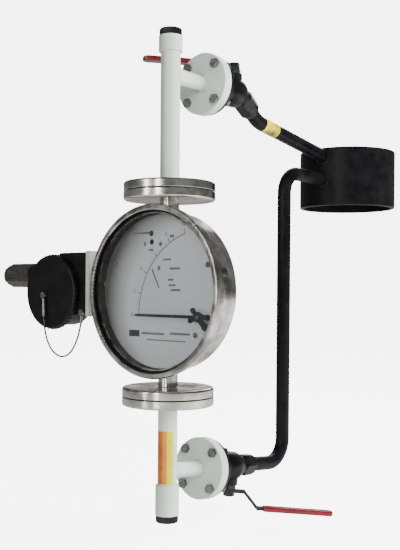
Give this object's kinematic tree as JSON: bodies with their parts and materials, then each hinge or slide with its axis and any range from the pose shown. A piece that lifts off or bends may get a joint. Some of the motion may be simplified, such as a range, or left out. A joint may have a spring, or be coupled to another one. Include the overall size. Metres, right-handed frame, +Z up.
{
  "type": "bypass rotameter",
  "caption": "Magnetic metal-tube flow meter with a round dial, hung on two valved branches from a carrier ring with orifice plate, with terminal box and lever ball valves.",
  "frame": {"origin": "centre of the carrier ring's bore at its lower face", "axes": "+Z up along the ring's axis and the metering tube, -Y the way the dial faces, +X to the right of someone reading the dial"},
  "size_m": [0.3648, 0.494, 0.5524],
  "materials": {
    "light_paint": "satin",
    "turned_steel": "turned, satin",
    "case_steel": "brushed",
    "black_casting": "black paint over casting",
    "black_pipe": "satin black",
    "plug_black": "matt",
    "zinc_steel": "zinc plated",
    "polished_steel": "polished",
    "seal_rubber": "matt",
    "white_seat": "matt",
    "dial_paint": "matt print on metal",
    "dial_black": "matt",
    "window_glass": "clear",
    "magnet_grey": "plain",
    "bronze": "plain",
    "box_black": "satin over casting",
    "gland_grey": "weathered",
    "terminal_plastic": "matt",
    "lever_steel": "dark, satin",
    "grip_red": "dipped, soft gloss",
    "wire_steel": "plain"
  },
  "bodies": {
    "base": {"alarm_switch": "dial_black", "bearing_bracket": "zinc_steel", "bezel_ring": "case_steel", "box_adaptor": "light_paint", "box_cover": "box_black", "carrier_ring": "black_pipe", "case_plug": "zinc_steel", "cover_seal": "seal_rubber", "dial_case": "case_steel", "dial_glass": "window_glass", "dial_pillars": "bronze", "dial_plate": "dial_paint", "dial_screws": "zinc_steel", "end_plugs": "plug_black", "flange_screws": "zinc_steel", "float_guides": "polished_steel", "gland_body": "gland_grey", "gland_nut": "gland_grey", "gland_seal": "seal_rubber", "glass_gasket": "seal_rubber", "lanyard_screws": "zinc_steel", "lanyard_wire": "wire_steel", "line_gaskets": "seal_rubber", "lower_line_flange": "turned_steel", "lower_loop_pipe": "black_pipe", "lower_spool": "light_paint", "lower_valve_body": "black_casting", "metering_orifice": "polished_steel", "metering_tube": "turned_steel", "orifice_plate": "turned_steel", "shaft_bearings": "bronze", "side_flange_bolts": "zinc_steel", "side_flange_nuts": "zinc_steel", "side_gaskets": "seal_rubber", "stem_gland_nuts": "lever_steel", "terminal_block": "terminal_plastic", "terminal_box": "box_black", "upper_line_flange": "turned_steel", "upper_loop_pipe": "black_pipe", "upper_spool": "light_paint", "upper_valve_body": "black_casting", "valve_seats": "white_seat"},
    "float_unit": {"float": "polished_steel", "float_magnet": "magnet_grey"},
    "pointer_unit": {"pointer_shaft": "polished_steel", "follower_arm": "zinc_steel", "follower_magnet": "magnet_grey", "pointer": "dial_black", "pointer_balance": "dial_black"},
    "upper_handle": {"upper_valve_ball": "polished_steel", "upper_valve_stem": "polished_steel", "upper_lever": "lever_steel", "upper_lever_grip": "grip_red", "upper_lever_nut": "lever_steel"},
    "lower_handle": {"lower_valve_ball": "polished_steel", "lower_valve_stem": "polished_steel", "lower_lever": "lever_steel", "lower_lever_grip": "grip_red", "lower_lever_nut": "lever_steel"}
  },
  "joints": [
    {"name": "float_lift", "type": "slide", "parent": "base", "child": "float_unit", "axis": [0, 0, 1], "range_m": [0, 0.04748]},
    {"name": "pointer_turn", "type": "hinge", "parent": "base", "child": "pointer_unit", "pos_m": [0.061, -0.3901, -0.1445], "axis": [0, 1, 0], "range_deg": [0, 75]},
    {"name": "upper_lever_turn", "type": "hinge", "parent": "base", "child": "upper_handle", "pos_m": [0, -0.2645, 0.1455], "axis": [0, 0, 1], "range_deg": [-54, 3]},
    {"name": "lower_lever_turn", "type": "hinge", "parent": "base", "child": "lower_handle", "pos_m": [0, -0.26512, -0.32581], "axis": [0, 0.1045, 0.9945], "range_deg": [-42, 48]}
  ],
  "couplings": [
    {"joint": "pointer_turn", "follows": "float_lift", "rad_per_m": 27.567}
  ]
}
